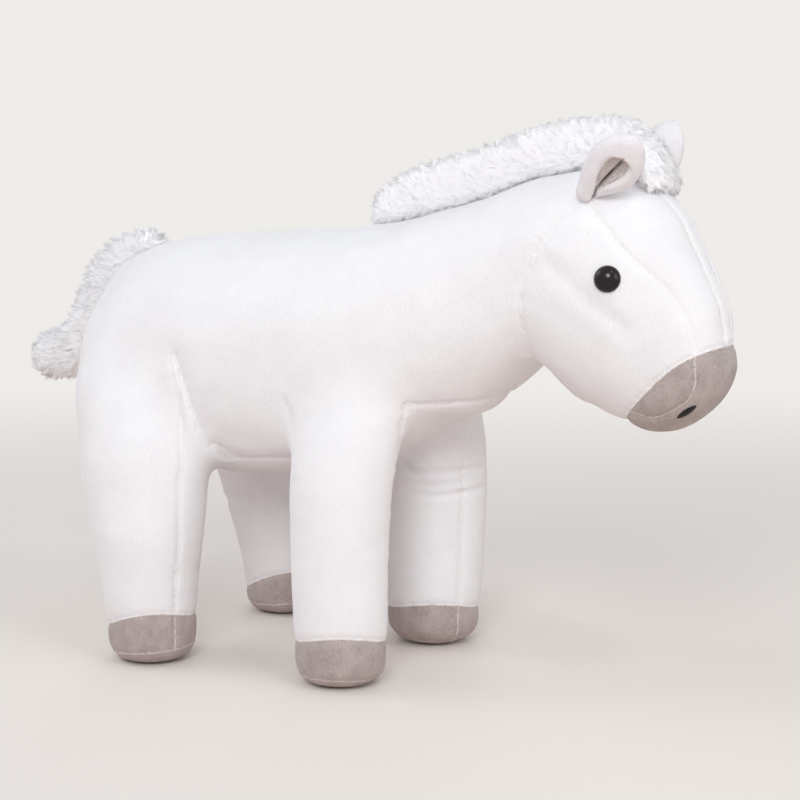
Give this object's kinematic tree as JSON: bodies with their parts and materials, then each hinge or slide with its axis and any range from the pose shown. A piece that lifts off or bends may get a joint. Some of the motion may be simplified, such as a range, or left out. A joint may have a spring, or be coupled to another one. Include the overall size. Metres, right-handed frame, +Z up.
{
  "type": "plush horse",
  "caption": "Standing white plush horse with grey muzzle and hooves, fur mane, forelock and tail, and cupped ears that fold.",
  "frame": {"origin": "on the floor under the middle of the whole outline's box, between the four hooves", "axes": "+X from tail to nose, +Y to the horse's left side, +Z up"},
  "size_m": [0.5272, 0.2176, 0.3463],
  "materials": {
    "plush": "short soft white pile",
    "fur": "long soft white pile",
    "grey_plush": "short velvety grey pile",
    "ear_lining": "short grey pile",
    "filling": "loose polyester fibre",
    "eye": "polished black",
    "washer": "plain white moulding",
    "embroidery": "black satin stitch"
  },
  "bodies": {
    "toy": {"side_panel_right": "plush", "side_panel_left": "plush", "belly_panel": "plush", "body_filling": "filling", "front_right_leg_outer": "plush", "front_right_leg_inner": "plush", "front_right_hoof": "grey_plush", "front_right_sole": "grey_plush", "front_right_leg_filling": "filling", "front_left_leg_outer": "plush", "front_left_leg_inner": "plush", "front_left_hoof": "grey_plush", "front_left_sole": "grey_plush", "front_left_leg_filling": "filling", "hind_right_leg_outer": "plush", "hind_right_leg_inner": "plush", "hind_right_hoof": "grey_plush", "hind_right_sole": "grey_plush", "hind_right_leg_filling": "filling", "hind_left_leg_outer": "plush", "hind_left_leg_inner": "plush", "hind_left_hoof": "grey_plush", "hind_left_sole": "grey_plush", "hind_left_leg_filling": "filling", "forehead_gusset": "plush", "face_panel_right": "plush", "face_panel_left": "plush", "cheek_panel_right": "plush", "cheek_panel_left": "plush", "muzzle_side_right": "grey_plush", "muzzle_side_left": "grey_plush", "muzzle_front": "grey_plush", "head_filling": "filling", "eye_right": "eye", "eye_left": "eye", "eye_washer_right": "washer", "eye_washer_left": "washer", "nostril_right": "embroidery", "nostril_left": "embroidery", "mane": "fur", "forelock": "fur"},
    "ear_right": {"ear_shell_right": "plush", "ear_lining_right": "ear_lining"},
    "ear_left": {"ear_shell_left": "plush", "ear_lining_left": "ear_lining"},
    "tail": {"tail": "fur"}
  },
  "joints": [
    {"name": "ear_right_fold", "type": "hinge", "parent": "toy", "child": "ear_right", "pos_m": [0.18698, -0.03956, 0.29813], "axis": [0.6402, -0.284, -0.7138], "range_deg": [-20, 30], "stiffness_Nm_per_rad": 0.05},
    {"name": "ear_left_fold", "type": "hinge", "parent": "toy", "child": "ear_left", "pos_m": [0.18696, 0.03958, 0.29805], "axis": [-0.9741, 0.0428, 0.2218], "range_deg": [-20, 30], "stiffness_Nm_per_rad": 0.05},
    {"name": "tail_lift", "type": "hinge", "parent": "toy", "child": "tail", "pos_m": [-0.14686, 0, 0.26383], "axis": [0, 1, 0], "range_deg": [0, 60], "stiffness_Nm_per_rad": 0.02}
  ]
}
